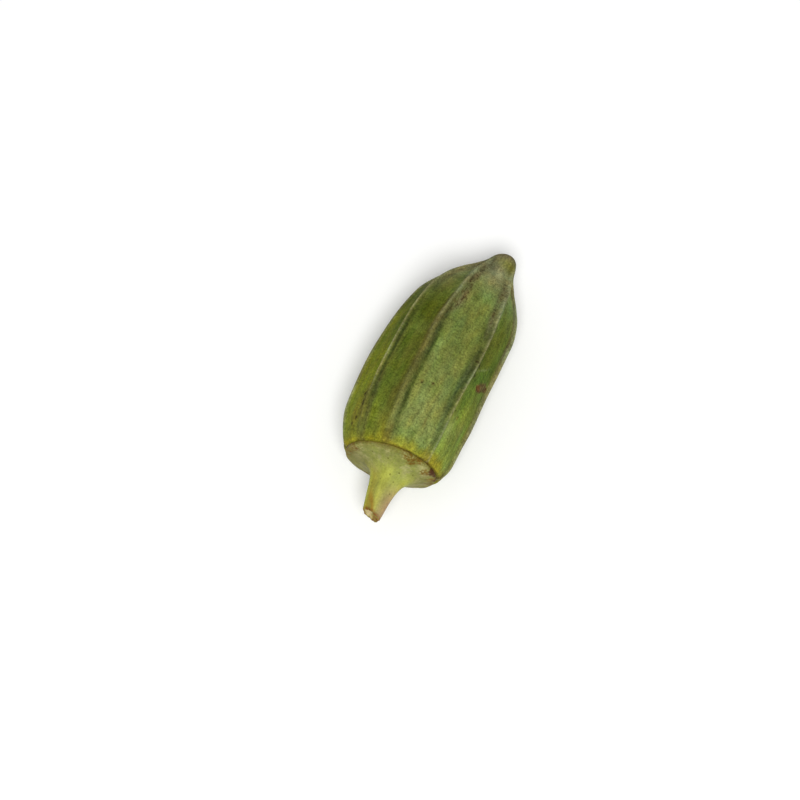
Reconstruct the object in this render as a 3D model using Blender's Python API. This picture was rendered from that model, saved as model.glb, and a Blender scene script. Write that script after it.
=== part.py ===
"""An okra pod as picked, lying on its side: the ribbed pod, and the cut stem with its cap.

The pod is laid out along a gently bowed centreline. Its local +X runs from the scar ring, where the
cap meets the pod, to the beak. Angles round the pod are counted from its top, turning towards -Y.
"""

import math

import bmesh
import bpy
from mathutils import Matrix, Vector

MM = 0.001

# Pod.
POD_LENGTH = 74.3 * MM  # scar ring to the end of the beak, along the centreline
RING_RADIUS = 13.5 * MM  # the pod's edge at the scar ring
SHOULDER_LENGTH = 10.5 * MM  # from the ring to where the pod has its full girth
BEAK_ROUNDING = 4.2 * MM  # length of the beak's rounded end
BELLY = (  # distance from the ring and radius over the ridge crests, before the ends are rounded
    (0.0, 16.2),
    (12.0, 17.9),
    (24.0, 18.1),
    (38.0, 17.6),
    (49.0, 16.3),
    (56.0, 13.8),
    (61.0, 10.7),
    (65.0, 7.6),
    (69.0, 5.2),
    (72.0, 4.4),
    (75.0, 4.0),
)
SIDE_BOW = 3.4 * MM  # how far the middle of the centreline stands out towards +Y
BEAK_DROOP = 0.6 * MM  # how far the beak hangs below the straight line
DROOP_START = 0.72  # share of the length where the droop begins

# Ridges: degrees round the pod.
RIDGE_ANGLES = (-79.0, -39.5, -8.5, 45.5, 90.5, 126.0, 158.5, 201.5, 242.0)
RIDGE_HEIGHT = 1.1 * MM  # crest above the foot of its flanks
RIDGE_REACH = 2.1 * MM  # half width of a ridge, along the skin
RIDGE_SHARPNESS = 1.3  # a ridge's section: 1 is a sharp keel, 2 is a round bell
RING_RELIEF = 0.25  # how far the ridges and panels have taken shape at the scar ring, from 0 to 1
PANEL_FLATNESS = 0.42  # a panel's section: 0 is an arc about the centreline, 1 is flat
TIP_FADE = 9.0 * MM  # the ridges fade out over this length before the beak's end

# Stem and cap.
FIT_GAP = 0.3 * MM  # between the pod's end face and the cap
STEM_LENGTH = 16.6 * MM  # ring to the cut end
CAP_RADIUS = 13.1 * MM
CAP_EDGE = 0.7 * MM  # rounding of the cap's edge
STEM_FOOT_RADIUS = 4.95 * MM  # the stem's own taper, run back to the ring
STEM_TAPER = 0.142  # radius lost for each metre of length
FLARE_LENGTH = 1.9 * MM  # over which the cap's flare falls away
CUT_ROUNDING = 0.5 * MM
CUT_SLANT = math.radians(9.0)  # the knife's angle off square
SLANT_ONSET = 4  # how late along the stem its rows begin to slant: the higher, the later

# How the whole lies.
REST_PITCH = math.radians(1.75)  # beak down, so that the belly's underside is level
PRESSED_FLAT = 0.4 * MM  # how much of the two lowest crests the pod's weight presses level

# How finely the surfaces are divided.
COLUMNS_PER_PANEL = 12
COLUMN_CROWDING = 0.09  # how much closer together the columns stand at the crests
POD_ROWS = 34
BASE_ROWS = 3  # rows of the pod's flat end face, from its middle to the ring
STEM_COLUMNS = 48
STEM_ROWS = 24
STEM_BASE_ROWS = 2
CAP_EDGE_ROWS = 2
STEM_CUT_ROWS = 2
SHARP_ANGLE = math.radians(50.0)  # edges that turn more than this are shaded sharp

# Linear colour and roughness of each piece.
POD_FINISH = ((0.17, 0.21, 0.045), 0.62)
STEM_FINISH = ((0.38, 0.38, 0.11), 0.55)


def clear_scene():
    for scene_object in list(bpy.data.objects):
        bpy.data.objects.remove(scene_object)


def smooth_step(value):
    value = min(max(value, 0.0), 1.0)
    return value * value * (3.0 - 2.0 * value)


def belly_radius(distance):
    """The smooth curve through BELLY, as a monotone cubic."""
    points = [(x * MM, r * MM) for x, r in BELLY]
    slopes = [
        (points[i + 1][1] - points[i][1]) / (points[i + 1][0] - points[i][0])
        for i in range(len(points) - 1)
    ]
    tangents = [slopes[0]]
    for before, after in zip(slopes, slopes[1:]):
        harmonic = 0.0 if before * after <= 0.0 else 2.0 * before * after / (before + after)
        tangents.append(harmonic)
    tangents.append(slopes[-1])
    index = 0
    while index < len(slopes) - 1 and distance > points[index + 1][0]:
        index += 1
    (x0, r0), (x1, r1) = points[index], points[index + 1]
    span = x1 - x0
    u = (distance - x0) / span
    return (
        (2 * u**3 - 3 * u**2 + 1) * r0
        + (u**3 - 2 * u**2 + u) * span * tangents[index]
        + (3 * u**2 - 2 * u**3) * r1
        + (u**3 - u**2) * span * tangents[index + 1]
    )


def crest_radius(distance):
    """The pod's radius over its crests, with the shoulder and the beak's end rounded."""
    radius = belly_radius(distance)
    if distance < SHOULDER_LENGTH:
        rise = math.sqrt(1.0 - (1.0 - distance / SHOULDER_LENGTH) ** 2)
        radius = RING_RADIUS + (radius - RING_RADIUS) * rise
    into_beak = (distance - (POD_LENGTH - BEAK_ROUNDING)) / BEAK_ROUNDING
    if into_beak > 0.0:
        radius *= math.sqrt(max(0.0, 1.0 - into_beak**2))
    return radius


def centreline(distance):
    """(point, tangent) of the centreline. Beyond the ring it runs straight on, as the stem does."""
    along = max(distance, 0.0)
    share = along / POD_LENGTH
    side = SIDE_BOW * 4.0 * share * (1.0 - share)
    side_slope = SIDE_BOW * 4.0 * (1.0 - 2.0 * share) / POD_LENGTH
    into_droop = max(0.0, (share - DROOP_START) / (1.0 - DROOP_START))
    drop = -BEAK_DROOP * into_droop**2
    drop_slope = -BEAK_DROOP * 2.0 * into_droop / ((1.0 - DROOP_START) * POD_LENGTH)
    tangent = Vector((1.0, side_slope, drop_slope)).normalized()
    point = Vector((along, side, drop)) + tangent * min(distance, 0.0)
    return point, tangent


def place(distance, angle, radius):
    """The point at this angle and radius in the section square to the centreline."""
    point, tangent = centreline(distance)
    up = (Vector((0, 0, 1)) - tangent * tangent.z).normalized()
    side = tangent.cross(up)
    return point + (up * math.cos(angle) + side * math.sin(angle)) * radius


def column_place(column):
    """(the column's angle round the pod, its share of the way across its panel, the panel's angle)."""
    panel, step = divmod(column, COLUMNS_PER_PANEL)
    start = RIDGE_ANGLES[panel]
    width = (RIDGE_ANGLES[(panel + 1) % len(RIDGE_ANGLES)] - start) % 360.0
    # Columns crowd towards the crests, where the skin turns sharply.
    share = step / COLUMNS_PER_PANEL
    share -= COLUMN_CROWDING * math.sin(2.0 * math.pi * share)
    return math.radians(start + width * share), share, math.radians(width)


def skin_radius(distance, share, width):
    """The pod's radius across a panel: a sharp ridge at each side and a flattened arc between."""
    crest = crest_radius(distance)
    from_crest = min(share, 1.0 - share) * crest * width
    keel = math.exp(-((from_crest / (0.5 * RIDGE_REACH)) ** RIDGE_SHARPNESS))
    chord = crest * math.cos(0.5 * width) / math.cos((share - 0.5) * width)
    relief = smooth_step((POD_LENGTH - distance) / TIP_FADE)
    relief *= smooth_step(RING_RELIEF + (1.0 - RING_RELIEF) * distance / SHOULDER_LENGTH)
    return crest - relief * (RIDGE_HEIGHT * (1.0 - keel) + PANEL_FLATNESS * (crest - chord))


def pod_mesh():
    """A sphere's rows and columns, laid over the end face and then along the pod."""
    columns = COLUMNS_PER_PANEL * len(RIDGE_ANGLES)
    shape = bmesh.new()
    bmesh.ops.create_uvsphere(shape, u_segments=columns, v_segments=POD_ROWS, radius=1.0)
    for vertex in shape.verts:
        row = POD_ROWS * math.acos(max(-1.0, min(1.0, vertex.co.z))) / math.pi
        turn = (math.atan2(vertex.co.y, vertex.co.x) / (2.0 * math.pi)) % 1.0
        angle, share, width = column_place(round(turn * columns) % columns)
        if row < BASE_ROWS - 0.5:
            radius = skin_radius(0.0, share, width) * row / BASE_ROWS
            vertex.co = place(0.0, angle, radius)
        else:
            # Rows crowd towards the shoulder and the beak.
            along = (row - BASE_ROWS) / (POD_ROWS - BASE_ROWS)
            distance = POD_LENGTH * 0.5 * (1.0 - math.cos(math.pi * along))
            vertex.co = place(distance, angle, skin_radius(distance, share, width))
    return finished_mesh(shape, "pod")


def stem_radius(distance):
    """The stem's radius at a distance from the ring: a taper, with the cap flaring out of it."""
    flare = CAP_RADIUS - STEM_FOOT_RADIUS
    fall = math.exp(-max(0.0, distance - CAP_EDGE - FIT_GAP) / FLARE_LENGTH)
    return STEM_FOOT_RADIUS - STEM_TAPER * distance + flare * fall


def stem_mesh():
    """A sphere's rows and columns, laid over the cap's back, its edge, the stem and the cut."""
    side_rows = STEM_ROWS - STEM_BASE_ROWS - STEM_CUT_ROWS
    shape = bmesh.new()
    bmesh.ops.create_uvsphere(shape, u_segments=STEM_COLUMNS, v_segments=STEM_ROWS, radius=1.0)
    for vertex in shape.verts:
        row = STEM_ROWS * math.acos(max(-1.0, min(1.0, vertex.co.z))) / math.pi
        angle = math.atan2(vertex.co.y, vertex.co.x)
        end_radius = stem_radius(STEM_LENGTH)
        if row < STEM_BASE_ROWS + 0.5:
            distance = FIT_GAP
            radius = (CAP_RADIUS - 0.5 * CAP_EDGE) * row / STEM_BASE_ROWS
        elif row < STEM_BASE_ROWS + side_rows - 0.5:
            along = (row - STEM_BASE_ROWS) / side_rows
            distance = FIT_GAP + CAP_EDGE * min(1.0, along * side_rows / CAP_EDGE_ROWS)
            # Rows crowd towards the cap, where the radius changes most.
            distance += (STEM_LENGTH - FIT_GAP - CAP_EDGE - CUT_ROUNDING) * along**2
            radius = stem_radius(distance)
        else:
            distance = STEM_LENGTH
            radius = (end_radius - CUT_ROUNDING) * (STEM_ROWS - row) / STEM_CUT_ROWS
        onset = smooth_step(distance / STEM_LENGTH) ** SLANT_ONSET
        slant = math.tan(CUT_SLANT) * radius * math.cos(angle) * onset
        vertex.co = place(slant - distance, angle, radius)
    return finished_mesh(shape, "stem")


def finished_mesh(shape, name):
    shape.normal_update()
    bmesh.ops.recalc_face_normals(shape, faces=shape.faces)
    mesh = bpy.data.meshes.new(name)
    shape.to_mesh(mesh)
    shape.free()
    mesh.shade_smooth()
    mesh.set_sharp_from_angle(angle=SHARP_ANGLE)
    return mesh


def plain_material(name, colour, roughness):
    material = bpy.data.materials.new(name)
    material.use_nodes = True
    shader = material.node_tree.nodes["Principled BSDF"]
    shader.inputs["Base Color"].default_value = (*colour, 1.0)
    shader.inputs["Roughness"].default_value = roughness
    shader.inputs["Metallic"].default_value = 0.0
    return material


def add_piece(mesh, material, collection, parent):
    mesh.materials.append(material)
    piece = bpy.data.objects.new(mesh.name, mesh)
    collection.objects.link(piece)
    piece.parent = parent
    return piece


def press_flat(piece, turn):
    """Levels the lowest part of the piece, as the pod's own weight does to the crests it lies on."""
    back = turn.inverted()
    floor = min((turn @ vertex.co).z for vertex in piece.data.vertices) + PRESSED_FLAT
    for vertex in piece.data.vertices:
        sunk = floor - (turn @ vertex.co).z
        if sunk > 0.0:
            vertex.co += back @ Vector((0.0, 0.0, sunk))


def lay_down(parent, pieces):
    """Pitches the whole to how it lies, and puts its bounding box's bottom centre at the origin."""
    turn = Matrix.Rotation(REST_PITCH, 3, "Y")
    press_flat(pieces[0], turn)
    parent.rotation_euler = (0.0, REST_PITCH, 0.0)
    points = [turn @ vertex.co for piece in pieces for vertex in piece.data.vertices]
    low = [min(point[axis] for point in points) for axis in range(3)]
    high = [max(point[axis] for point in points) for axis in range(3)]
    parent.location = (-(low[0] + high[0]) / 2.0, -(low[1] + high[1]) / 2.0, -low[2])


def main():
    clear_scene()
    collection = bpy.data.collections.new("okra_pod")
    bpy.context.scene.collection.children.link(collection)
    okra = bpy.data.objects.new("okra_pod", None)
    collection.objects.link(okra)
    pod_skin = plain_material("pod_skin", *POD_FINISH)
    stem_skin = plain_material("stem_skin", *STEM_FINISH)
    pieces = [
        add_piece(pod_mesh(), pod_skin, collection, okra),
        add_piece(stem_mesh(), stem_skin, collection, okra),
    ]
    lay_down(okra, pieces)


main()
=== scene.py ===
import math
import bmesh
import bpy
import numpy as np
from mathutils import Matrix, Vector, noise


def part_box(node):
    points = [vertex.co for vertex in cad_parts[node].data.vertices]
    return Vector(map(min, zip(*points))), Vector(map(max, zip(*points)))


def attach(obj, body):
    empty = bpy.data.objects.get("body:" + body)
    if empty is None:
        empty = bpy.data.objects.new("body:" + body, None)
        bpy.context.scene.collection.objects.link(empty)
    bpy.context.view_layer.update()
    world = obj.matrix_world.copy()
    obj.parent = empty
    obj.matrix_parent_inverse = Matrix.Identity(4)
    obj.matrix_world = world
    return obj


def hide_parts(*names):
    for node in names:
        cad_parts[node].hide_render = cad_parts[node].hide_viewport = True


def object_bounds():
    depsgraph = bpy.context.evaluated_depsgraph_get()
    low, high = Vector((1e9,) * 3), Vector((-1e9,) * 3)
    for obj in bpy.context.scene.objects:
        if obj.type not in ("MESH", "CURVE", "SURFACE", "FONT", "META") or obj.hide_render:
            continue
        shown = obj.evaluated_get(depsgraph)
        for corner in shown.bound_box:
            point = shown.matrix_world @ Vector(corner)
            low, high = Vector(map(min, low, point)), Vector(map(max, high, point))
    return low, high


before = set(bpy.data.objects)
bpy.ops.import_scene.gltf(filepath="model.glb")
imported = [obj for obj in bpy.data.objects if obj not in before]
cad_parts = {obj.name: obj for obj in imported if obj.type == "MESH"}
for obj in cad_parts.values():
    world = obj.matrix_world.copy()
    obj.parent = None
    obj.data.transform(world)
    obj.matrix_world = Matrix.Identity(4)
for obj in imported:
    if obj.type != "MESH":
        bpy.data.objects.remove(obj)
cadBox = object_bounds()

mm = 0.001


# small helpers

def linearColour(hexText):
    # sRGB hex to the linear numbers that a shader takes
    parts = [int(hexText[i:i + 2], 16) / 255.0 for i in (1, 3, 5)]
    return tuple(p / 12.92 if p <= 0.04045 else ((p + 0.055) / 1.055) ** 2.4 for p in parts) + (1.0,)


def smoothStep(values, low=0.0, high=1.0):
    share = np.clip((np.asarray(values, float) - low) / (high - low), 0.0, 1.0)
    return share * share * (3.0 - 2.0 * share)


def bell(distance, halfWidth):
    return np.exp(-((np.asarray(distance) / halfWidth) ** 2))


def curveThrough(points, values):
    # smooth curve through (x, y) pairs that never overshoots them
    xs, ys = np.array([p[0] for p in points], float), np.array([p[1] for p in points], float)
    steps = np.diff(xs)
    slopes = np.diff(ys) / steps
    tangents = np.concatenate([slopes[:1], np.zeros(len(slopes) - 1), slopes[-1:]])
    for i in range(1, len(slopes)):
        if slopes[i - 1] * slopes[i] > 0.0:
            tangents[i] = 2.0 * slopes[i - 1] * slopes[i] / (slopes[i - 1] + slopes[i])
    values = np.clip(np.asarray(values, float), xs[0], xs[-1])
    at = np.clip(np.searchsorted(xs, values) - 1, 0, len(steps) - 1)
    h, u = steps[at], (values - xs[at]) / steps[at]
    return ((2 * u**3 - 3 * u**2 + 1) * ys[at] + (u**3 - 2 * u**2 + u) * h * tangents[at]
            + (3 * u**2 - 2 * u**3) * ys[at + 1] + (u**3 - u**2) * h * tangents[at + 1])


def levelCurve(points, distance):
    # the same for a list from the pod's tables, which stays level past its last point, beyond the beak
    beyond = 90.0
    return curveThrough(points + [(beyond, points[-1][1])], distance)


def softNoise(xs, ys, zs, size):
    # soft random bumps from -1 to 1, one bump being about size millimetres
    return np.array([noise.noise(Vector((x, y, z)) / size) for x, y, z in zip(xs, ys, zs)])


def shortWay(degrees):
    # the same turn, from -180 to 180
    return (degrees + 180.0) % 360.0 - 180.0


def sideOf(degrees, turn):
    # 1 on the side that faces this turn, falling to 0 on the side across from it
    return 0.5 + 0.5 * np.cos(np.radians(degrees - turn))


def spunGrid(rows, columns):
    # a lathe blank: one point for each row, spun all the way round, with both ends closed on the axis
    blank = bmesh.new()
    points = [blank.verts.new((1.0 if 0 < row < rows - 1 else 0.0, 0.0, float(row))) for row in range(rows)]
    edges = [blank.edges.new(pair) for pair in zip(points, points[1:])]
    bmesh.ops.spin(blank, geom=points + edges, cent=(0, 0, 0), axis=(0, 0, 1), dvec=(0, 0, 0),
                   angle=2.0 * math.pi, steps=columns, use_merge=True, use_duplicate=False)
    bmesh.ops.remove_doubles(blank, verts=blank.verts, dist=1e-5)
    return blank


def gridPlaces(blank, columns):
    # which row and which column each point of the blank is in
    cos = np.array([v.co[:] for v in blank.verts])
    rows = np.round(cos[:, 2]).astype(int)
    turns = (np.arctan2(cos[:, 1], cos[:, 0]) / (2.0 * math.pi)) % 1.0
    return rows, np.round(turns * columns).astype(int) % columns


def finishPiece(blank, name, places, paint):
    # moves the blank's points to their places and hangs the painted values on them
    blank.verts.ensure_lookup_table()
    for vertex, place in zip(blank.verts, places):
        vertex.co = place
    blank.normal_update()
    bmesh.ops.recalc_face_normals(blank, faces=blank.faces)
    mesh = bpy.data.meshes.new(name)
    blank.to_mesh(mesh)
    blank.free()
    middle = Vector(places.mean(axis=0))
    if sum(p.normal.dot(p.center - middle) for p in mesh.polygons) < 0.0:
        mesh.flip_normals()
    mesh.shade_smooth()
    for key, values in paint.items():
        layer = mesh.attributes.new(key, "FLOAT", "POINT")
        layer.data.foreach_set("value", np.asarray(values, np.float32))
    piece = bpy.data.objects.new(name, mesh)
    bpy.context.scene.collection.objects.link(piece)
    return piece


def addNode(tree, kind, inputs=None, **settings):
    # one node, with its settings, its values and its links
    made = tree.nodes.new(kind)
    for key, value in settings.items():
        setattr(made, key, value)
    for key, value in (inputs or {}).items():
        if isinstance(value, bpy.types.NodeSocket):
            tree.links.new(value, made.inputs[key])
        else:
            made.inputs[key].default_value = value
    return made


# The pod. Lengths are in mm. A distance is taken along the pod from the scar ring, and a turn in degrees
# round it from the top. A list of pairs gives a value by distance.

podForm = {
    "length": 74.3,  # scar ring to the beak's end, along the centreline
    "ringRadius": 13.5,
    "shoulder": 10.5,  # from the ring to the full girth
    "beakRounding": 4.2,
    "belly": [(0, 16.2), (12, 17.9), (24, 18.1), (38, 17.6), (49, 16.3), (56, 13.8),
              (61, 10.7), (65, 7.6), (69, 5.2), (72, 4.4), (75, 4.0)],
    "sideBow": 3.4,
    "beakDroop": 0.6,
    "droopStart": 0.72,  # share of the length
    "restPitch": 1.75,  # degrees, beak down
    "pressedFlat": 0.4,  # off the crests it lies on
    "flatness": 0.42,  # of a panel's section: 0 round, 1 flat
    "tipFade": 9.0,  # over which the ridges die out at the beak
    "ridgeHeight": 1.1,
    "ridgeAtRing": 0.25,  # how far the ridges have risen at the ring
    "ridgeSharpness": 1.3,
    "ridgeWander": 0.8,  # degrees that a ridge strays
    "wanderLength": 11.0,
    "foldPlace": 0.55,  # where the dark fold lies beside a ridge, as a share of the ridge's reach
    "foldDepth": 0.24,
    "foldHalfWidth": 0.45,

    # the mesh
    "columnsPerPanel": 36,
    "rows": 262,
    "backRows": [0.0, 0.5, 0.96],  # shares of the radius, for the rows that close the end behind the cap
    "rowCrowding": 0.58,  # towards both ends
    "columnCrowding": 0.09,  # towards the ridges

    # the skin's bumps: how much longer than wide they are, and how wide. Their heights follow
    "bumps": {"lumps": (1.8, 6.0), "streaks": (14.0, 1.3), "grain": (1.6, 0.7), "dabs": (3.0, 2.4)},
    "bumpGirth": 16.0,  # radius of the tube that the bumps are laid on
    "lumpHeight": 0.15,
    "streakHeight": 0.05,
    "grainHeight": 0.02,
    "puckerHeight": 0.12,
    "lipHeight": 0.12,
    # a shallow fold down the middle of the top panel
    "topFold": {"distance": 36.0, "halfLength": 6.0, "turn": 9.0, "halfWidth": 4.0, "slant": 0.7,
                "depth": 0.12},

    # The ridges, going round. reach: width of the foot. line, lineWidth: how pale the crest is, and over what
    # half width. side: the side, -1 or 1, with the dark fold. crease, creaseWidth: how deep the fold is and
    # how dark the painted shade in it is, and its half width. brown: how brown the flanks are. speckle,
    # rubWidth: how rubbed and freckled the fold is, and how far out. haze: how much grey down stands there
    "ridges": [
        {"turn": [(0, -79)], "reach": [(0, 2.1)], "side": -1,
         "line": [(0, 0.3), (12, 0.9), (30, 0.8), (60, 0.5)], "lineWidth": [(0, 0.75)],
         "crease": [(0, 0.8), (60, 0.5)], "brown": [(0, 0.25), (20, 0.15)], "speckle": [(0, 0.4), (20, 0.1)]},
        {"turn": [(0, -44), (7, -40.5), (26, -40.5), (33, -41.5), (40, -44), (49, -45), (60, -52), (68, -60)],
         "reach": [(0, 1.8), (20, 1.6), (60, 1.6)], "side": 1,
         "line": [(0, 0.0), (10, 0.15), (17, 0.75), (24, 1.0), (50, 1.0), (66, 0.7)],
         "lineWidth": [(0, 0.33)], "creaseWidth": [(0, 0.52)],
         "crease": [(0, 0.1), (7, 0.4), (14, 1.0), (36, 1.0), (46, 0.55), (56, 0.35), (70, 0.2)],
         "brown": [(0, 0.35), (10, 0.35), (18, 0.15), (44, 0.1), (70, 0.1)],
         "speckle": [(0, 0.5), (12, 0.5), (22, 0.2), (50, 0.2), (58, 0.3), (66, 0.2)],
         "haze": [(0, 0), (46, 0.1), (58, 0.8), (70, 0.8)]},
        {"turn": [(0, -10), (11, -8.5), (30, -8), (36, -10), (50, -10), (55, -12.5), (60, -17.5),
                  (64, -29), (72, -55)],
         "reach": [(0, 3.2), (30, 3.0), (44, 2.2), (60, 1.9)], "side": 1,
         "line": [(0, 0.05), (10, 0.1), (32, 0.2), (42, 0.6), (50, 0.85), (60, 1.0), (68, 1.0), (72, 0.4)],
         "lineWidth": [(0, 0.9), (36, 0.7), (46, 0.42), (58, 0.5), (64, 0.7), (72, 0.6)],
         "creaseWidth": [(0, 0.85)],
         "crease": [(0, 0.3), (6, 0.8), (20, 1.0), (40, 1.0), (48, 0.85), (58, 0.7), (70, 0.2)],
         "brown": [(0, 0.45), (10, 0.6), (20, 0.7), (36, 0.7), (44, 0.5), (52, 0.25), (70, 0.1)],
         "speckle": [(0, 0.1), (38, 0.3), (44, 0.9), (52, 1.1), (64, 1.1), (68, 0.6), (71, 0.1)],
         "rubWidth": [(0, 0.9), (41, 0.9), (47, 1.9), (54, 1.2), (60, 0.95)],
         "haze": [(0, 0.0), (46, 0.1), (56, 0.4), (66, 0.7), (72, 0.5)]},
        {"turn": [(0, 49.6), (5, 45), (11, 43.2), (19, 44.2), (28, 45.6), (34, 46.4), (44, 45.2),
                  (51, 42.9), (57, 43.8), (62, 51), (67, 60), (72, 66)],
         "reach": [(0, 1.8), (60, 1.7)], "side": -1,
         "line": [(0, 0.6), (10, 0.7), (24, 0.8), (50, 0.9), (66, 0.9), (72, 0.6)],
         "lineWidth": [(0, 0.34), (44, 0.38), (54, 0.65), (68, 0.75)],
         "creaseWidth": [(0, 0.8), (8, 0.9), (18, 1.15), (28, 1.6), (46, 1.6), (54, 1.0)],
         "crease": [(0, 0.3), (6, 0.55), (14, 0.75), (24, 1.0), (44, 1.0), (52, 0.7), (70, 0.3)],
         "brown": [(0, 0.1), (44, 0.15), (50, 0.45), (58, 0.45), (66, 0.1)],
         "speckle": [(0, 0.1), (38, 0.15), (44, 0.4), (50, 1.0), (60, 1.0), (66, 0.5), (71, 0.05)],
         "haze": [(0, 0.1), (12, 0.3), (30, 0.45), (44, 0.5), (56, 1.0), (68, 0.8)]},
        {"turn": [(0, 98), (15, 98), (44, 96.5), (56, 89), (66, 88)], "reach": [(0, 1.9)], "side": -1,
         "line": [(0, 0.9), (12, 1.0), (60, 1.0)],
         "lineWidth": [(0, 0.5), (12, 0.6), (20, 0.95), (30, 1.05), (50, 0.8)],
         "crease": [(0, 0.3), (14, 0.35), (22, 0.15), (42, 0.2), (50, 0.5), (70, 0.6)],
         "brown": [(0, 0.7), (6, 0.6), (13, 0.35), (24, 0.3), (44, 0.4), (52, 0.7), (60, 0.5)],
         "speckle": [(0, 0.6), (8, 0.5), (14, 0.3), (30, 0.4), (46, 0.9), (60, 1.0)]},
        {"turn": [(0, 126)], "reach": [(0, 2.2)], "side": 1,
         "line": [(0, 0.4), (20, 0.7), (66, 0.8)], "lineWidth": [(0, 0.4)],
         "crease": [(0, 0.4), (20, 0.8), (70, 0.4)], "brown": [(0, 0.4), (50, 0.3)], "speckle": [(0, 0.3)]},
        {"turn": [(0, 158.5)], "reach": [(0, 2.6), (60, 1.8)], "side": -1,
         "line": [(0, 0.2), (40, 0.5), (66, 0.8)], "lineWidth": [(0, 0.5)],
         "crease": [(0, 0.3), (18, 0.9), (70, 0.3)], "brown": [(0, 0.6), (50, 0.3)], "speckle": [(0, 0.4)]},
        {"turn": [(0, 201.5)], "reach": [(0, 2.0)], "side": 1,
         "line": [(0, 0.5), (20, 0.8), (66, 0.8)], "lineWidth": [(0, 0.35)],
         "crease": [(0, 0.4), (20, 0.8), (70, 0.4)], "brown": [(0, 0.3), (50, 0.5)], "speckle": [(0, 0.5)]},
        {"turn": [(0, 242)], "reach": [(0, 1.9)], "side": -1,
         "line": [(0, 0.3), (20, 0.9), (66, 0.9)], "lineWidth": [(0, 0.4)],
         "crease": [(0, 0.5), (20, 1.0), (70, 0.4)], "brown": [(0, 0.4), (50, 0.3)], "speckle": [(0, 0.4)]},
    ],

    # The panels, each starting at its ridge above. pale: how pale and downy. sun: how yellow. green: how
    # fresh a green. lift: how much lighter than its neighbours
    "panels": [
        {"pale": [(0, 0.45), (8, 0.36), (30, 0.20), (60, 0.05)],
         "sun": [(0, 0.55), (8, 0.6), (16, 0.8), (28, 0.85), (38, 0.55), (50, 0)],
         "lift": [(0, 1.22), (8, 1.2), (14, 1.1), (20, 0.97), (28, 0.97), (36, 0.95)]},
        {"pale": [(0, 0.45), (12, 0.22), (20, 0.12), (32, 0.06), (44, 0.1), (54, 0.3), (64, 0.6)],
         "sun": [(0, 0.8), (8, 0.5), (14, 0.25), (25, 0.05), (50, 0)],
         "green": [(0, 0), (40, 0.05), (54, 0.25), (66, 0.2)],
         "lift": [(0, 1.12), (6, 0.98), (12, 1.02), (24, 1.01), (40, 1.06), (50, 1.0), (62, 1.12)]},
        {"pale": [(0, 1.00), (8, 1.00), (24, 0.83), (40, 0.66), (56, 0.84), (66, 1.0)],
         "sun": [(0, 0.25), (10, 0.12), (22, 0.12), (36, 0.12), (50, 0)],
         "green": [(0, 0.0), (40, 0.05), (52, 0.2), (66, 0.1)],
         "lift": [(0, 1.1), (6, 1.04), (10, 0.98), (24, 0.98), (32, 0.97), (48, 0.98), (54, 1.04),
                  (64, 1.1)]},
        {"pale": [(0, 1.00), (12, 1.05), (18, 0.75), (24, 0.45), (34, 0.15), (38, 0.05), (46, 0.0), (54, 0.4),
                  (66, 0.6)],
         "sun": [(0, 0.3), (5, 0.5), (14, 0.6), (20, 0.5), (30, 0.25), (42, 0.15), (54, 0)],
         "green": [(0, 0.05), (8, 0.3), (16, 0.3), (30, 0.28), (35, 0.25), (38, 0.1), (48, 0.1), (54, 0.25),
                   (66, 0.3)],
         "lift": [(0, 1.08), (5, 1.13), (13, 1.13), (19, 1.0), (26, 0.9), (34, 0.9), (42, 1.03), (54, 1.08)]},
        {"pale": [(0, 0.5), (30, 0.3), (60, 0.3)], "sun": [(0, 0.5), (30, 0.2)],
         "green": [(0, 0), (30, 0.3)]},
        {"pale": [(0, 0.6), (30, 0.5), (60, 0.2)], "sun": [(0, 0.3), (30, 0.0)],
         "green": [(0, 0.3), (50, 0.1)]},
        {"pale": [(0, 0.3), (30, 0.2), (60, 0.3)], "sun": [(0, 0.5), (50, 0.3)],
         "green": [(0, 0), (40, 0.2)]},
        {"pale": [(0, 0.7), (30, 0.6), (60, 0.4)], "sun": [(0, 0.2), (30, 0.0)],
         "green": [(0, 0.2), (60, 0.3)]},
        {"pale": [(0, 0.4), (30, 0.35), (60, 0.1)], "sun": [(0, 0.6), (40, 0.4)],
         "green": [(0, 0), (50, 0.1)]},
    ],

    # where the pod is fuller or thinner: distance, turn, half length, half width in degrees, height
    "swells": [(61, -82, 7, 38, -0.75), (56, 96, 7, 34, 0.4), (30, 99, 14, 24, -0.55),
               (71, 100, 3.5, 50, -0.8), (3, 114, 4, 26, 0.55), (10, 98, 6, 24, -0.75),
               (0, 48, 4.5, 32, -0.55), (30, 185, 12, 40, 0.3)],

    # Marks: distance, turn, half length, half width and, where it isn't 1, strength. Dots have one size
    "blemishes": [(28.6, 67.3, 1.1, 1.6), (29.7, 72.3, 1.4, 1.9), (30.8, 77.8, 1.6, 1.9),
                  (31.6, 83.6, 1.5, 1.9), (32.1, 89.0, 1.1, 1.4), (44.0, 171.0, 1.3, 1.6),
                  (22.0, 262.0, 1.5, 1.2)],
    "rawSpots": [(29.0, 68.7, 0.95, 1.2), (43.6, 169.0, 0.7, 0.9), (20.5, 15.5, 0.55, 0.6, 0.5),
                 (19.6, 5.0, 0.6, 0.6, 0.35), (16.0, 57.0, 0.6, 0.6, 0.4), (9.0, 24.0, 1.6, 0.5, 0.25)],
    "scuffs": [(44.0, 59, 6.0, 3.6, 0.3), (41.0, 19, 2.6, 0.9, 0.35), (47.5, 21, 1.8, 0.8, 0.3),
               (34.0, -20, 9.0, 2.2, 0.2), (11.0, -18, 6.5, 2.4, 0.6), (9.0, -47, 7.5, 2.0, 0.85),
               (6.5, -57, 5.5, 3.0, 0.6), (25.0, 21, 3.0, 1.6, 0.2), (13.0, 71, 3.0, 1.2, 0.2),
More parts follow.
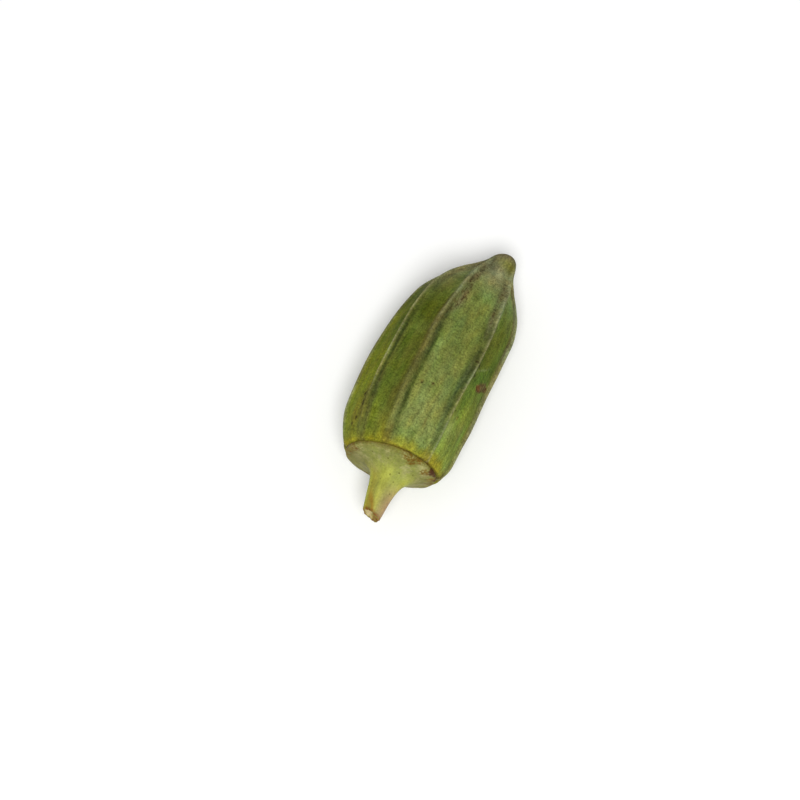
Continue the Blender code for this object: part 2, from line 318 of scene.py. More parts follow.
               (50.0, -28, 6.0, 1.4, 0.2), (30.0, 111, 9.0, 2.6, 0.7), (52.0, 142, 7.0, 2.4, 0.8),
               (16.0, 168, 5.0, 3.0, 0.6), (40.0, 214, 9.0, 2.2, 0.7), (60.0, 232, 5.0, 2.0, 0.8),
               (28.0, 258, 7.0, 2.5, 0.6)],
    # painted shadows, where the skin dips in shallow folds; they darken the crease layer
    "shadowPatches": [(34.8, 21.5, 4.2, 2.0, 0.4), (40.0, 19.0, 2.5, 1.2, 0.2), (31.5, 53.5, 4.5, 1.7, 0.3),
                   (24.0, 198.0, 7.0, 1.6, 0.3)],
    "leafPatches": [(32.5, 64.0, 4.6, 4.6, 0.55), (20.0, 190.0, 7.0, 3.5, 0.6)],
    "coolPatches": [(20.0, -3.0, 8.0, 2.0, 0.45), (32.0, -1.0, 7.0, 1.6, 0.2), (40.0, 33.0, 8.0, 2.0, 0.3)],
    "darkDots": [(4.5, -59, 0.45), (5.8, -52.5, 0.5), (9.5, -47.0, 0.45), (10.3, -47.4, 0.4),
                 (12.5, -49.5, 0.55), (25.3, 24.5, 0.28), (30.1, 51.5, 0.5), (33.8, 51.0, 0.55),
                 (20.5, 15.5, 0.40), (19.2, 5, 0.28), (16.5, 58, 0.30), (17.1, 49, 0.28), (33.9, 45, 0.38),
                 (30.7, 48.5, 0.28), (26.0, 140, 0.50), (52.0, 118, 0.45), (14.0, 185, 0.55),
                 (38.0, 223, 0.45)],
    # tufts of down: distance, turn, half length, half width in degrees, strength
    "tufts": [(65.9, -7.0, 2.4, 16.0, 0.55), (54.0, -46.0, 7.0, 18.0, 0.4)],
    "ringTurn": 40.0,  # where the ring's scar is darkest and its yellow band widest
    # the edge of a pod that lay against this one: distance, turn, mm of slant a degree, half width in degrees
    "pressMark": {"distance": 34.36, "turn": 62.0, "slant": 0.22, "halfWidth": 12.0},
}


def centreline(distance):
    # point and direction of the pod's bowed centreline, in mm. Behind the ring it runs straight on
    distance = np.asarray(distance, float)
    along, length = np.maximum(distance, 0.0), podForm["length"]
    share = along / length
    side = podForm["sideBow"] * 4.0 * share * (1.0 - share)
    sideSlope = podForm["sideBow"] * 4.0 * (1.0 - 2.0 * share) / length
    tail = 1.0 - podForm["droopStart"]
    drooping = np.maximum(0.0, (share - podForm["droopStart"]) / tail)
    drop = -podForm["beakDroop"] * drooping**2
    dropSlope = -2.0 * podForm["beakDroop"] * drooping / (tail * length)
    direction = np.stack([np.ones_like(along), sideSlope, dropSlope], -1)
    direction /= np.linalg.norm(direction, axis=-1, keepdims=True)
    return np.stack([along, side, drop], -1) + direction * np.minimum(distance, 0.0)[..., None], direction


def placeRound(distance, angle, radius):
    # points at an angle and a radius in the section square to the centreline, in mm
    points, direction = centreline(distance)
    up = np.array([0.0, 0.0, 1.0]) - direction * direction[..., 2:3]
    up /= np.linalg.norm(up, axis=-1, keepdims=True)
    across = np.cross(direction, up)
    outward = up * np.cos(angle)[..., None] + across * np.sin(angle)[..., None]
    return points + outward * np.asarray(radius)[..., None]


restTurn = np.array(Matrix.Rotation(math.radians(podForm["restPitch"]), 3, "Y"))


def crestRadius(distance):
    # radius over the ridges' crests
    radius = curveThrough(podForm["belly"], distance)
    ringRadius, shoulder = podForm["ringRadius"], podForm["shoulder"]
    rise = np.sqrt(np.clip(1.0 - (1.0 - np.minimum(distance, shoulder) / shoulder) ** 2, 0.0, 1.0))
    radius = np.where(distance < shoulder, ringRadius + (radius - ringRadius) * rise, radius)
    intoBeak = np.clip((distance - podForm["length"]) / podForm["beakRounding"] + 1.0, 0.0, 1.0)
    return radius * np.sqrt(1.0 - intoBeak**2)


def alongOf(table, key, distance, which, otherwise=0.0):
    # one list of the ridges or of the panels, read at each point's own distance and for its own entry
    values = np.stack([levelCurve(entry.get(key, [(0, otherwise)]), distance) for entry in podForm[table]])
    return values[which, np.arange(len(distance))]


def podPaint(distance, degrees, crest, panel, ridge, nearStart, toCrest, onSide, bumps):
    # what the skin's material is painted with
    form, count = podForm, len(podForm["ridges"])
    lumps, streaks, grain, dabs = [bumps[key] for key in ("lumps", "streaks", "grain", "dabs")]

    def ofRidge(key, otherwise=0.0):
        return alongOf("ridges", key, distance, ridge, otherwise)

    # a panel's tone runs a little way into its neighbour's
    neighbour = np.where(nearStart, panel - 1, panel + 1) % count
    blend = 0.5 * bell(toCrest, 0.5)
    pale, sun, green, lift = [
        alongOf("panels", key, distance, panel, otherwise) * (1.0 - blend)
        + alongOf("panels", key, distance, neighbour, otherwise) * blend
        for key, otherwise in (("pale", 0.0), ("sun", 0.0), ("green", 0.0), ("lift", 1.0))]

    def roundTurn(turn, halfWidth):
        # 1 at this turn, fading to nothing on both sides of it
        return bell(shortWay(degrees - turn), halfWidth)

    def nearMarks(marks, broken=0.0):
        # 1 at the middle of each mark, falling to nothing round it, with edges broken up by noise
        mask = np.zeros(len(distance))
        for t, turn, halfLength, halfWidth, *strength in marks:
            offset = shortWay(degrees - turn) * math.radians(1.0) * crest
            away = ((distance - t) / halfLength) ** 2 + (offset / halfWidth) ** 2
            mark = smoothStep(1.5 - away - broken * (dabs + 0.8 * grain)) if broken else np.exp(-away)
            mask = np.maximum(mask, mark * (strength or [1.0])[0])
        return mask

    # the ring's yellow band, wider and stronger on one side, with a ragged edge
    ringSide = sideOf(degrees, form["ringTurn"])
    band = smoothStep(0.9 + 1.1 * ringSide + 1.4 * streaks + 1.6 * dabs - distance, -1.6, 1.2)
    ringEdge = 0.75 * bell(distance - 0.3, 0.8)

    # beside each ridge: the fold darkened with painted shade, and the rubbed strip with its freckles a little
    # further out
    reach, speckled = ofRidge("reach"), ofRidge("speckle")
    creaseWidth, rubWidth = ofRidge("creaseWidth", 0.6), ofRidge("rubWidth", 0.95)
    fromFold = onSide - form["foldPlace"] * reach - 0.4 * (creaseWidth - 0.6)
    foldShade = ofRidge("crease") * bell(fromFold, creaseWidth * (1.0 + 0.4 * streaks))
    foldShade = foldShade * (0.85 + 0.7 * dabs + 0.4 * grain)
    fromRub = onSide - 0.35 - rubWidth
    rubbed = 0.95 * speckled * bell(fromRub, rubWidth) * (0.75 + 0.6 * dabs + 0.3 * streaks)
    # grey down stands in the fold, and towards the beak on the ridge's other side
    hazeInFold = 0.7 * bell(onSide - 1.5, 0.7) * (0.6 + 1.2 * dabs) * (1.0 - smoothStep(distance, 46.0, 56.0))
    hazeBeyond = bell(onSide + 0.6, 0.9) * smoothStep(distance, 42.0, 56.0)

    # a pod that lay against this one has left a line aslant across the panel, and a fresh place behind it
    mark = form["pressMark"]
    pressed = mark["distance"] + mark["slant"] * shortWay(degrees - mark["turn"]) + 0.4 * dabs - distance
    pressLine = 0.5 * bell(pressed, 0.35) * roundTurn(mark["turn"], mark["halfWidth"])

    # the downy beak end: grey over the top and down one side, tufted at the very tip
    greyTop = smoothStep(distance, 53.0, 66.0) - 0.9 * smoothStep(distance, 67.0, 70.0)
    greySide = 0.8 * smoothStep(distance, 46.0, 58.0) * roundTurn(-68.0, 34.0)
    tufts = smoothStep(distance, 60.0, 68.0) * roundTurn(-50.0, 48.0) * (0.9 + 0.4 * streaks)
    for t, turn, halfLength, halfWidth, strength in form["tufts"]:
        tufts += strength * bell(distance - t, halfLength) * roundTurn(turn, halfWidth)
    tip = 0.75 * smoothStep(distance, 70.0, 73.0)

    return {
        "paleness": pale + 0.10 * lumps,
        "sun": sun * (0.85 + 0.5 * lumps + 0.6 * dabs),
        "green": np.maximum(green, nearMarks(form["coolPatches"])) * (0.9 + 0.6 * dabs),
        "lift": lift,
        "crestLine": ofRidge("line") * bell(toCrest, ofRidge("lineWidth")) * (0.85 + 0.6 * grain),
        # painted shade: dark in the folds beside the ridges and in the listed shadow patches
        "crease": np.maximum(foldShade, nearMarks(form["shadowPatches"]) * (1.0 + dabs)),
        "brown": ofRidge("brown") * bell(toCrest, 0.55 * reach + 0.25),
        "rubbed": rubbed,
        "freckled": speckled * bell(fromRub, 1.15 * rubWidth),
        "haze": np.maximum(ofRidge("haze") * (hazeInFold + hazeBeyond), pressLine),
        "yellowBand": np.maximum(band * (0.2 + 0.45 * ringSide), ringEdge),
        "scarLine": bell(distance, 0.25) * (0.05 + 0.7 * ringSide**3) * (1.0 + 0.6 * dabs),
        "tan": nearMarks(form["scuffs"]) * (0.75 + 0.5 * dabs),
        "leaf": nearMarks(form["leafPatches"]) * smoothStep(pressed, 0.0, 0.5),
        "greyDown": greyTop * (0.2 + 0.8 * bell(degrees - 15.0, 34.0)) + greySide,
        "beak": 0.8 * smoothStep(distance, 66.0, 70.5) * (0.3 + 0.7 * roundTurn(45.0, 60.0)),
        "tufts": tufts + tip,
        "blemish": nearMarks(form["blemishes"], 0.6),
        "raw": nearMarks(form["rawSpots"], 0.9) * (0.7 + 0.8 * grain),
        "dots": nearMarks([(t, turn, size, size) for t, turn, size in form["darkDots"]]),
    }


def makePod():
    form, ridges, length = podForm, podForm["ridges"], podForm["length"]
    count, perPanel = len(ridges), form["columnsPerPanel"]
    columns = count * perPanel
    # a few rows close the end behind the cap, the rest run to the beak, closer together at both ends
    u, crowding = np.linspace(0.0, 1.0, form["rows"]), form["rowCrowding"]
    stations = length * ((1.0 - crowding) * u + crowding * 0.5 * (1.0 - np.cos(math.pi * u)))
    rowDistance = np.concatenate([np.zeros(len(form["backRows"])), stations])
    rowShare = np.concatenate([form["backRows"], np.ones(form["rows"])])
    blank = spunGrid(len(rowShare), columns)
    row, column = gridPlaces(blank, columns)
    distance, inward = rowDistance[row], rowShare[row]

    # each panel lies between two ridges, which stray a little, and its columns crowd towards them
    panel = column // perPanel
    share = (column % perPanel) / perPanel
    share = share - form["columnCrowding"] * np.sin(2.0 * math.pi * share)
    turns = np.stack([levelCurve(entry["turn"], rowDistance) for entry in ridges])
    wander = [[noise.noise(Vector((d / form["wanderLength"], 3.7 * i, 0.5))) for d in rowDistance]
              for i in range(count)]
    turns += form["ridgeWander"] * np.array(wander)
    start = turns[panel, row]
    width = (turns[(panel + 1) % count, row] - start) % 360.0
    angle, width = np.radians(start + width * share), np.radians(width)
    degrees = np.degrees(angle)

    # the ridged section: crests on the full radius, and panels between them flattened towards their chords
    crest = crestRadius(distance)
    nearStart = share < 0.5
    ridge = np.where(nearStart, panel, (panel + 1) % count)
    toCrest = np.where(nearStart, share, share - 1.0) * crest * width  # signed, in mm
    chord = crest * np.cos(0.5 * width) / np.cos((share - 0.5) * width)
    presence = smoothStep(length - distance, 0.0, form["tipFade"])
    presence *= smoothStep(form["ridgeAtRing"] + (1.0 - form["ridgeAtRing"]) * distance / form["shoulder"])
    reach = alongOf("ridges", "reach", distance, ridge)
    keel = np.exp(-((np.abs(toCrest) / (0.5 * reach)) ** form["ridgeSharpness"]))
    radius = crest - presence * (form["ridgeHeight"] * (1.0 - keel) + form["flatness"] * (crest - chord))

    # relief too fine for the solid: the folds, then the skin's own bumps
    onSide = toCrest * np.array([entry["side"] for entry in ridges])[ridge]
    fold = alongOf("ridges", "crease", distance, ridge)
    fold = fold * bell(onSide - form["foldPlace"] * reach, form["foldHalfWidth"])
    radius -= form["foldDepth"] * presence * fold
    y, z = np.cos(angle) * form["bumpGirth"], np.sin(angle) * form["bumpGirth"]
    bumps = {key: softNoise(distance / stretch, y, z, size) for key, (stretch, size) in form["bumps"].items()}
    skin = smoothStep(distance, 0.0, 4.0) * smoothStep(length - distance, 0.0, 6.0)
    radius += skin * (form["lumpHeight"] * bumps["lumps"] + form["grainHeight"] * bumps["grain"]
                      + form["streakHeight"] * bumps["streaks"] * (1.0 - keel))
    top = form["topFold"]
    alongFold = distance - top["distance"]
    acrossFold = degrees - top["turn"] + top["slant"] * alongFold
    radius -= top["depth"] * bell(alongFold, top["halfLength"]) * bell(acrossFold, top["halfWidth"])
    for t, turn, halfLength, halfWidth, height in form["swells"]:
        radius += height * bell(distance - t, halfLength) * bell(shortWay(degrees - turn), halfWidth)
    # puckers and a thin lip where the skin meets the scar ring
    radius += form["puckerHeight"] * softNoise(0.0 * distance, y, z, 1.4) * bell(distance - 1.0, 1.8)
    radius += form["lipHeight"] * bell(distance - 0.5, 0.4)

    places = placeRound(distance, angle, radius * inward) @ restTurn.T
    places[:, 2] = np.maximum(places[:, 2], places[:, 2].min() + form["pressedFlat"])
    paint = podPaint(distance, degrees, crest, panel, ridge, nearStart, toCrest, onSide, bumps)
    pod = finishPiece(blank, "podBody", places, paint)
    print("pod:", len(pod.data.polygons), "faces")
    return pod


# the stem with its cap

stemForm = {
    "length": 16.6,  # scar ring to the cut end, in mm as all lengths here
    "capBack": 0.05,  # where the cap's back stands, behind the ring
    "capRadius": 13.35,
    "capEdge": 0.7,
    "edgeRounding": 0.12,
    "outOfRound": {"turn": 48.0, "halfWidth": 32.0, "depth": 0.55},  # the cap's flatter side
    "capLumps": 0.16,
    "flareStart": 1.0,
    "flareLength": 1.9,
    "flareLean": 0.35,  # the flare runs out further on one side
    "flareTurn": 95.0,
    "footRadius": 4.95,
    "taper": 0.142,
    "flutes": 5,
    "fluteDepth": 0.2,
    "fluteTurn": 3.0,
    "bumpGirth": 5.0,  # radius of the tube that the bumps are laid on
    "fibreHeight": 0.09,
    "threadHeight": 0.03,
    "rayHeight": 0.05,
    "bend": 0.72,  # sideways, most of it reached at the cut end
    "cutSlant": 20.0,  # degrees off square
    "cutTurn": 110.0,
    "slantStart": 7.0,  # the stalk's skin follows the slant from here on
    "cutRagged": 0.22,
    "pithSunk": 0.22,
    "pithEdge": (0.62, 0.86),  # shares of the radius between which the pith ends

    # the turns that each tone and the painted shade are strongest at, and the dried streak that winds up one
    # flute
    "rimTurn": 75.0,
    "upperRimTurn": -25.0,
    "yellowTurn": -80.0,
    "pinkTurn": 88.0,
    "shadeTurn": 190.0,
    "driedPithTurn": 90.0,
    "driedStreak": {"turn": 309.0, "distance": 10.0, "slant": 7.5, "waver": 9.0, "halfWidth": 15.0},

    # the mesh
    "columns": 180,
    "sideRows": 170,
    "rowCrowding": 1.9,  # towards the cap
    "backRows": [0.0, 0.5, 0.97],  # shares of the radius, for the rows that close the cap's back
    "cutRows": 18,

    # dried or bruised places on the cap: degrees from the top, distance from the axis, size
    "rustSpots": [(24, 12.1, 1.2), (34, 11.5, 1.8), (41, 12.4, 1.1), (17, 12.7, 0.6), (68, 11.8, 1.9),
                  (90, 12.3, 1.5), (106, 12.0, 1.5), (-60, 12.4, 1.8), (-74, 12.6, 1.9), (-90, 12.8, 1.2),
                  (170, 12.4, 1.4), (215, 12.7, 1.0)],
    "darkSpots": [(73, 12.8, 1.2), (67, 12.9, 0.7), (79, 13.0, 0.8), (92, 13.0, 0.7), (188, 12.8, 0.6)],
    "flakeSpots": [(20, 11.4, 0.9), (29, 12.5, 0.7), (60, 10.4, 1.1), (48, 11.8, 0.9), (-50, 11.6, 1.3),
                   (-3, 11.8, 1.2)],
    "pinPricks": [(62, 8.2, 0.24), (35, 6.2, 0.2), (-2, 8.9, 0.22), (88, 10.6, 0.26), (-30, 10.2, 0.2),
                  (140, 9.0, 0.25)],
    # small dark specks along the stalk: degrees from the top, distance from the ring, size
    "stalkSpecks": [(14, 5.2, 0.24), (-12, 7.0, 0.16), (38, 6.6, 0.2), (6, 9.4, 0.14), (52, 9.8, 0.2),
                    (-50, 8.2, 0.18), (120, 7.5, 0.22), (175, 10.0, 0.2), (232, 6.4, 0.2)],
}


def stemPaint(distance, degrees, radius, inward, onCut, pith, stalkness, bumps):
    # what the stem's material is painted with
    form, length, angle = stemForm, stemForm["length"], np.radians(degrees)
    spread = radius * inward
    lumps, rays, fibres, grain = [bumps[key] for key in ("lumps", "rays", "fibres", "grain")]

    def spots(marks):
        # spots with ragged edges, on the cap's face only
        mask = np.zeros(len(distance))
        for turn, out, size in marks:
            away = np.hypot(spread * np.cos(angle) - out * math.cos(math.radians(turn)),
                            spread * np.sin(angle) - out * math.sin(math.radians(turn)))
            mask = np.maximum(mask, smoothStep(1.3 - away / size - 0.5 * grain, 0.0, 0.7))
        return mask * (1.0 - smoothStep(distance, 4.0, 6.0))

    specks = np.zeros(len(distance))
    for turn, t, size in form["stalkSpecks"]:
        offset = shortWay(degrees - turn) * math.radians(1.0) * radius
        specks = np.maximum(specks, 0.8 * smoothStep(1.4 - np.hypot(distance - t, offset) / size))

    skin = 1.0 - onCut
    onCap, onStalk = (1.0 - stalkness) * skin, stalkness * skin
    rimLine = bell(distance, 0.35) * (0.35 + 0.3 * grain) * sideOf(degrees, form["rimTurn"]) ** 2
    upperRim = 0.6 * bell(distance, 0.6) * sideOf(degrees, form["upperRimTurn"]) ** 2
    driedEdge = 0.3 * smoothStep(spread, 11.4, 12.9) * (1.0 - stalkness)
    streak = form["driedStreak"]
    alongStreak = distance - streak["distance"]
    fromStreak = shortWay(degrees - streak["turn"] - streak["slant"] * alongStreak + streak["waver"] * fibres)
    underside = smoothStep(np.cos(np.radians(degrees - form["shadeTurn"])), -0.9, 0.1)
    nearCut = smoothStep(distance, 9.0, length)
    driedPith = smoothStep(np.cos(np.radians(degrees - form["driedPithTurn"])) * inward, -0.15, 0.3)
    creamPith = pith * (1.0 - 0.95 * driedPith)
    return {
        "capness": (1.0 - smoothStep(distance, 1.6, 4.6)) * skin,
        "rim": rimLine + upperRim,
        "rays": 0.5 * np.clip(0.5 + 1.4 * rays + 0.5 * grain, 0.0, 1.0) * onCap,
        "clouds": smoothStep(lumps + 0.5 * grain, -0.2, 0.7) * onCap,
        # painted highlight along the crests of the stalk's flutes
        "fluteHighlight": smoothStep(bumps["flute"], -0.5, 1.0) * onStalk,
        "rust": np.maximum(spots(form["rustSpots"]), driedEdge),
        "darkRust": spots(form["darkSpots"]),
        "flakes": spots(form["flakeSpots"]),
        # painted shade on the underside of the cap and flare
        "undersideShade": smoothStep(5.5 - distance, 0.0, 2.5) * underside,
        "pinPricks": np.maximum(spots(form["pinPricks"]), specks),
        "yellowSide": onStalk * sideOf(degrees, form["yellowTurn"]) ** 3 * (0.7 + 0.4 * nearCut),
        "driedStreak": skin * bell(fromStreak, streak["halfWidth"]) * 0.8 * smoothStep(distance, 8.5, 14.0),
        "pinkSide": onStalk * sideOf(degrees, form["pinkTurn"]) ** 3 * smoothStep(distance, 4.5, 13.0),
        "driedEnd": smoothStep(distance, length - 1.1, length) * (1.0 - creamPith) * (0.75 + 0.5 * grain),
        "pith": creamPith,
    }


def makeStem():
    form, length = stemForm, stemForm["length"]
    columns, sideRows, cutRows, backRows = [
        form[key] for key in ("columns", "sideRows", "cutRows", "backRows")]
    u = np.linspace(0.0, 1.0, sideRows)
    side = form["capBack"] + (length - form["capBack"]) * u ** form["rowCrowding"]
    rowDistance = np.concatenate([[side[0]] * len(backRows), side, [length] * cutRows])
    rowShare = np.concatenate([backRows, np.ones(sideRows), np.linspace(0.95, 0.0, cutRows)])
    blank = spunGrid(len(rowShare), columns)
    row, column = gridPlaces(blank, columns)
    distance, inward = rowDistance[row], rowShare[row]
    degrees = 360.0 * column / columns
    angle = np.radians(degrees)
    onCut = (row >= len(backRows) + sideRows) * 1.0
    stalkness = smoothStep(distance, 2.2, 6.5)  # 0 on the cap, 1 on the stalk

    # a tapering stalk that flares into the cap, which has a thin rounded edge
    lean = 1.0 + form["flareLean"] * np.cos(np.radians(degrees - form["flareTurn"]))
    flare = np.exp(-np.maximum(0.0, distance - form["flareStart"]) / (form["flareLength"] * lean))
    radius = form["footRadius"] - form["taper"] * distance + (form["capRadius"] - form["footRadius"]) * flare
    edge = np.clip((distance - form["capBack"]) / form["capEdge"], 0.0, 1.0)
    radius -= form["edgeRounding"] * (1.0 - np.sqrt(1.0 - (1.0 - edge) ** 2))
    flatter = form["outOfRound"]
    radius -= flatter["depth"] * bell(degrees - flatter["turn"], flatter["halfWidth"]) * flare

    # fibres and flutes along the stalk, faint rays on the cap
    y, z = np.cos(angle) * form["bumpGirth"], np.sin(angle) * form["bumpGirth"]
    bumps = {
        "fibres": softNoise(distance / 9.0, y, z, 1.2),
        "threads": softNoise(distance / 5.0, y, z, 0.5),
        "rays": softNoise(0.0 * distance, y * 2.6, z * 2.6, 1.6),
        "flute": np.cos(form["flutes"] * np.radians(degrees - form["fluteTurn"])),
    }
    radius += stalkness * (form["fibreHeight"] * bumps["fibres"] + form["threadHeight"] * bumps["threads"]
                           + form["fluteDepth"] * bumps["flute"])
    radius += (1.0 - stalkness) * form["rayHeight"] * bumps["rays"]

    # the end: cut askew, its rim drying into a ragged lip round the softer pith
    slant = math.tan(math.radians(form["cutSlant"])) * radius * inward
    end = slant * np.cos(np.radians(degrees - form["cutTurn"]))
    end *= smoothStep(distance, form["slantStart"], length) ** 2
    pith = onCut * (1.0 - smoothStep(inward, *form["pithEdge"]))
    end += onCut * (form["cutRagged"] * softNoise(inward * 6.0, y, z, 1.1) - form["pithSunk"] * pith)
    lip = smoothStep(distance, length - 1.5, length)
    end += lip * form["cutRagged"] * softNoise(0.0 * distance, y, z, 1.7)
    places = placeRound(-distance - end, angle, radius * inward)
    places[:, 1] += form["bend"] * smoothStep(distance, 3.0, 1.3 * length)
    # the cap's face is faintly lumpy
    acrossCap, upCap = np.cos(angle) * radius * inward, np.sin(angle) * radius * inward
    bumps["lumps"] = softNoise(acrossCap, upCap, distance, 3.2)
    bumps["grain"] = softNoise(acrossCap, upCap, distance, 0.8)
    places[:, 0] += form["capLumps"] * bumps["lumps"] * (1.0 - stalkness) * smoothStep(distance, 0.3, 1.2)

    paint = stemPaint(distance, degrees, radius, inward, onCut, pith, stalkness, bumps)
    stem = finishPiece(blank, "stemAndCap", places @ restTurn.T, paint)
    print("stem:", len(stem.data.polygons), "faces")
    return stem


pod, stem = makePod(), makeStem()

# both pieces are still where their own formulas put them: move them together onto the solid's place
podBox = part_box("pod")
podPlaces = np.array([v.co[:] for v in pod.data.vertices]) * mm
shift = Vector((podBox[1].x - podPlaces[:, 0].max(),
                0.5 * (podBox[0].y + podBox[1].y - podPlaces[:, 1].min() - podPlaces[:, 1].max()),
                podBox[0].z - podPlaces[:, 2].min()))
for piece, node, slotName in ((pod, "pod", "pod_skin"), (stem, "stem", "stem_skin")):
    piece.data.transform(Matrix.Translation(shift) @ Matrix.Scale(mm, 4))
    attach(piece, "root")
    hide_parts(node)


# materials

def startSkin(name, piece):
    # a new material on the piece: its nodes, the piece's own coordinates and what is painted on it
    material = bpy.data.materials.new(name)
    material.use_nodes = True
    piece.data.materials.append(material)
    tree = material.node_tree
    tree.nodes.clear()
    coords = addNode(tree, "ShaderNodeTexCoord").outputs["Object"]
    keys = [layer.name for layer in piece.data.attributes if layer.data_type == "FLOAT"]
    painted = {key: addNode(tree, "ShaderNodeAttribute", attribute_name=key).outputs["Fac"] for key in keys}
    return tree, coords, painted


def noisePatterns(tree, patterns):
    # noises, and masks made of them. A pattern is: name, coordinates, size in mm, detail, then the low and
    # high ends of the noise that are used and what they become
    noises, masks = {}, {}
    for key, vector, size, detail, low, high, toLow, toHigh in patterns:
        noises[key] = addNode(tree, "ShaderNodeTexNoise", {
            "Vector": vector, "Scale": 1.0 / (size * mm), "Detail": detail, "Roughness": 0.6}).outputs["Fac"]
        masks[key] = addNode(tree, "ShaderNodeMapRange", {
            "Value": noises[key], "From Min": low, "From Max": high,
            "To Min": toLow, "To Max": toHigh}).outputs[0]
    return noises, masks


def paintLayers(tree, base, layers):
    # lays colours over one another, each as strongly as its mask is bright
    base = linearColour(base)
    for mask, colour in layers:
        inputs = {0: mask, 6: base, 7: linearColour(colour)}
        base = addNode(tree, "ShaderNodeMix", inputs, data_type="RGBA").outputs[2]
    return base


def podSkin(piece):
    # living okra skin, grown under a fine down: matt and softly grained, streaked along the pod, paler where
    # the down is thick and on the worn crests, darkened with painted shade in the folds, with rusty freckles
    # where ridges have rubbed
    tree, coords, painted = startSkin("downyPodSkin", piece)
    along = addNode(tree, "ShaderNodeMapping", {"Vector": coords, "Scale": (0.14, 1.0, 1.0)}).outputs[0]
    halfAlong = addNode(tree, "ShaderNodeMapping", {"Vector": coords, "Scale": (0.45, 1.0, 1.0)}).outputs[0]
    across = addNode(tree, "ShaderNodeMapping", {"Vector": coords, "Scale": (1.0, 0.3, 0.3)}).outputs[0]
    noises, masks = noisePatterns(tree, [
        ("patch", coords, 9.0, 3.0, 0.3, 0.7, -0.15, 0.15),  # of tone
        ("streak", along, 1.3, 3.0, 0.35, 0.65, 0.86, 1.14),
        ("fibre", across, 0.8, 2.0, 0.35, 0.65, 0.88, 1.12),
        ("grain", coords, 0.5, 3.0, 0.32, 0.68, 0.64, 1.36),
        ("freckle", halfAlong, 0.7, 3.0, 0.47, 0.62, 0.0, 0.75),
        ("bruise", halfAlong, 0.7, 3.0, 0.56, 0.44, 0.0, 0.85),
        ("leaf", halfAlong, 3.0, 4.0, 0.50, 0.66, 0.0, 0.35),  # greener places
        ("straw", along, 2.6, 4.0, 0.50, 0.68, 0.0, 0.36),  # strawier ones
        ("mottle", halfAlong, 3.6, 3.0, 0.35, 0.65, 0.80, 1.19),  # lighter and darker
        ("tint", halfAlong, 4.5, 4.0, 0.36, 0.64, 0.0, 1.0),  # warmer and cooler
    ])
    pale = addNode(tree, "ShaderNodeMath", {0: painted["paleness"], 1: masks["patch"]}, operation="ADD",
                   use_clamp=True).outputs[0]
    freckles, bruise = [
        addNode(tree, "ShaderNodeMath", {0: painted[key], 1: mask}, operation="MULTIPLY").outputs[0]
        for key, mask in (("freckled", masks["freckle"]), ("blemish", masks["bruise"]))]
    base = paintLayers(tree, "#4e5a16", [
        (pale, "#7e8750"), (masks["leaf"], "#4a6424"), (masks["straw"], "#68662c"),
        (painted["sun"], "#7a851b"), (painted["green"], "#5d7d3a"), (painted["leaf"], "#486620"),
        (painted["yellowBand"], "#8b831d"), (painted["brown"], "#605322"), (painted["tan"], "#62542a"),
        # the crease layer is painted shade, in the folds and the shadow patches
        (painted["crease"], "#2f4014"), (painted["haze"], "#7a875c"), (painted["greyDown"], "#908e69"),
        (painted["rubbed"], "#6c6446"), (painted["beak"], "#5e5920"), (painted["tufts"], "#67634a"),
        (freckles, "#3f3217"), (painted["crestLine"], "#898a68"), (painted["blemish"], "#6a5c34"),
        (bruise, "#45290f"), (painted["raw"], "#7c4f26"), (painted["dots"], "#2c2010"),
        (painted["scarLine"], "#4c3c16")])
    tint = paintLayers(tree, "#f4fff8", [(masks["tint"], "#fff3dd")])
    base = addNode(tree, "ShaderNodeVectorMath", {0: base, 1: tint}, operation="MULTIPLY").outputs[0]
    for scale in (masks["mottle"], masks["streak"], masks["fibre"], masks["grain"], painted["lift"]):
        base = addNode(tree, "ShaderNodeVectorMath", {0: base, "Scale": scale}, operation="SCALE").outputs[0]
    bump = addNode(tree, "ShaderNodeBump", {
        "Height": noises["grain"], "Strength": 0.5, "Distance": 0.15 * mm})
    shader = addNode(tree, "ShaderNodeBsdfPrincipled", {
        "Base Color": base, "Roughness": 0.7, "Normal": bump.outputs[0], "Specular IOR Level": 0.03})
    addNode(tree, "ShaderNodeOutputMaterial", {"Surface": shader.outputs[0]})


